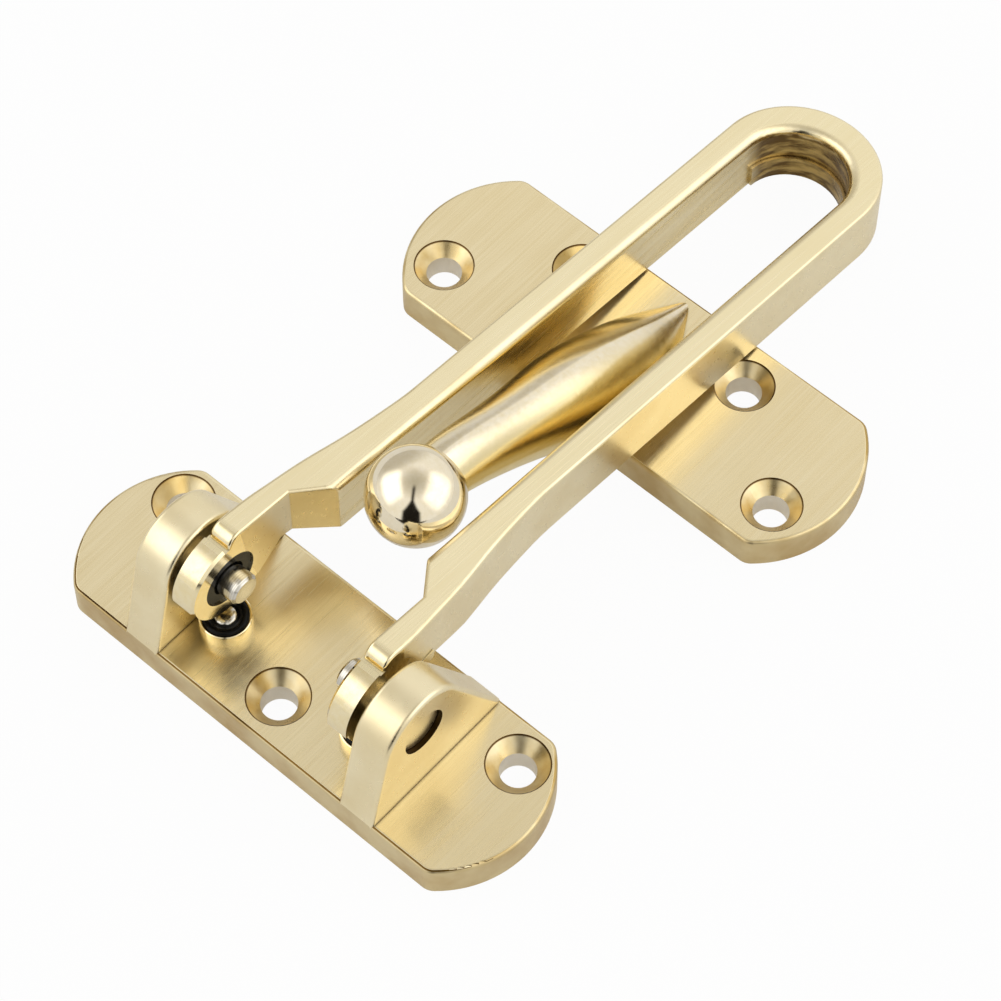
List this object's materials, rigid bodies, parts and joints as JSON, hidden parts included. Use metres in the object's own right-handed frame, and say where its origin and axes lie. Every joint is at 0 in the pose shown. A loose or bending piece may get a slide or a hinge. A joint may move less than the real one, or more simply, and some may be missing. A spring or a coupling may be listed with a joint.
{
  "type": "swing bar door guard",
  "caption": "Door guard with a U-shaped swing bar hinged between the lugs of a screw-on plate, caught by a polished ball on a curved horn that rises from a strike plate.",
  "frame": {"origin": "centre of the hinge plate's back face", "axes": "+X along the plates, +Y from the hinge plate to the swing bar's loop end, +Z away from the door"},
  "size_m": [0.0778, 0.1289, 0.03],
  "materials": {
    "satin_brass": "pale gold plating, brushed on the flat faces, polished on the ball and horn",
    "pin_steel": "bright turned steel",
    "black_rubber": "matt black"
  },
  "bodies": {
    "base": {"hinge_plate": "satin_brass", "left_hinge_pin": "pin_steel", "right_hinge_pin": "pin_steel", "strike_plate": "satin_brass"},
    "bar": {"swing_bar": "satin_brass", "left_friction_ring": "black_rubber", "right_friction_ring": "black_rubber"}
  },
  "joints": [
    {"name": "bar_swing", "type": "hinge", "parent": "base", "child": "bar", "pos_m": [0, -0.0023, 0.0178], "axis": [1, 0, 0], "range_deg": [0, 185]}
  ]
}
